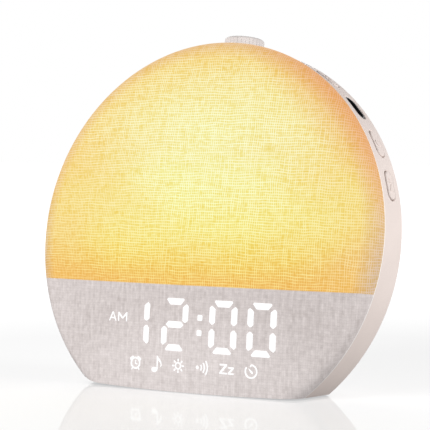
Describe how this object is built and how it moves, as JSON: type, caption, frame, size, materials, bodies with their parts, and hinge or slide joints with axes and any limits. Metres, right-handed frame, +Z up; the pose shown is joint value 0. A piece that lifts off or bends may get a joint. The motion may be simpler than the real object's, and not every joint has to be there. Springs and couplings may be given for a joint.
{
  "type": "sunrise alarm clock",
  "caption": "Sunrise alarm clock with a round domed fabric face on a flat base, lit above a digital display, with a top dial and side controls.",
  "frame": {"origin": "middle of the grip pad's underside, on the table", "axes": "+Z up, -Y the way the fabric face looks, +X to the right as seen from the front"},
  "size_m": [0.174, 0.073, 0.1563],
  "materials": {
    "rim_plastic": "fine matt moulded, pale warm grey",
    "cover_plastic": "fine matt moulded, pale warm grey",
    "dial_plastic": "satin moulded, fluted, pale ivory grey",
    "base_plastic": "fine matt moulded",
    "rubber": "soft matt",
    "steel": "plain plated",
    "fabric": "slubbed linen weave, greige, backlit warm above the border",
    "opal_plastic": "opal, diffusing",
    "mask_plastic": "matt, opaque",
    "white_plastic": "white, reflective",
    "white_board": "white solder mask",
    "led": "yellow phosphor",
    "light_guide": "milky clear",
    "circuit_board": "green solder mask",
    "black_plastic": "smooth black",
    "knob_plastic": "dark grey, ribbed",
    "speaker_paper": "pressed black cone",
    "cable_plastic": "flat cable",
    "wire_red": "insulation"
  },
  "bodies": {
    "clock": {"rim_housing": "rim_plastic", "rear_cover": "cover_plastic", "base_plate": "base_plastic", "grip_pad": "rubber", "ballast": "steel", "fabric_cover": "fabric", "diffuser": "opal_plastic", "display_mask": "mask_plastic", "light_divider": "white_plastic", "light_tray": "white_plastic", "led_board": "white_board", "leds": "led", "display_board": "circuit_board", "digit_guides": "light_guide", "icon_guides": "light_guide", "main_board": "circuit_board", "chips": "black_plastic", "tact_switch_1": "black_plastic", "tact_switch_2": "black_plastic", "tact_switch_3": "black_plastic", "switch_bezel": "black_plastic", "slide_switch": "steel", "encoder_nut": "steel", "encoder_bushing": "steel", "encoder_body": "steel", "encoder_board": "circuit_board", "speaker_gasket": "rubber", "speaker_frame": "steel", "speaker_cone": "speaker_paper", "speaker_magnet": "steel", "power_board": "circuit_board", "power_jack": "black_plastic", "power_jack_pin": "steel", "usb_shell": "steel", "usb_tongue": "white_plastic", "coin_cell": "steel", "coin_cell_holder": "white_plastic", "display_cable": "cable_plastic", "cable_sockets": "white_plastic", "speaker_leads": "wire_red", "power_leads": "wire_red", "case_screws": "steel", "base_screws": "steel", "board_screws": "steel", "tray_screws": "steel", "power_board_screws": "steel", "speaker_screws": "steel"},
    "side_button_1": {"side_button_1": "rim_plastic"},
    "side_button_2": {"side_button_2": "rim_plastic"},
    "side_button_3": {"side_button_3": "rim_plastic"},
    "slide_knob": {"switch_knob": "knob_plastic"},
    "dial_plunger": {"encoder_plunger": "black_plastic"},
    "dial": {"dial_knob": "dial_plastic", "encoder_shaft": "steel"}
  },
  "joints": [
    {"name": "side_button_1_press", "type": "slide", "parent": "clock", "child": "side_button_1", "axis": [-0.9563, -0.0508, -0.2879], "range_m": [0, 0.0005], "stiffness_N_per_m": 3000},
    {"name": "side_button_2_press", "type": "slide", "parent": "clock", "child": "side_button_2", "axis": [-0.866, -0.0868, -0.4924], "range_m": [0, 0.0005], "stiffness_N_per_m": 3000},
    {"name": "side_button_3_press", "type": "slide", "parent": "clock", "child": "side_button_3", "axis": [-0.5592, -0.144, -0.8164], "range_m": [0, 0.0005], "stiffness_N_per_m": 3000},
    {"name": "switch_slide", "type": "slide", "parent": "clock", "child": "slide_knob", "axis": [-0.682, 0.127, 0.7202], "range_m": [-0.0015, 0.0015]},
    {"name": "dial_press", "type": "slide", "parent": "clock", "child": "dial_plunger", "axis": [0, -0.1736, -0.9848], "range_m": [0, 0.0006], "stiffness_N_per_m": 5000},
    {"name": "dial_turn", "type": "hinge", "parent": "dial_plunger", "child": "dial", "pos_m": [0, 0.02133, 0.15265], "axis": [0, 0.1736, 0.9848], "continuous": true}
  ]
}
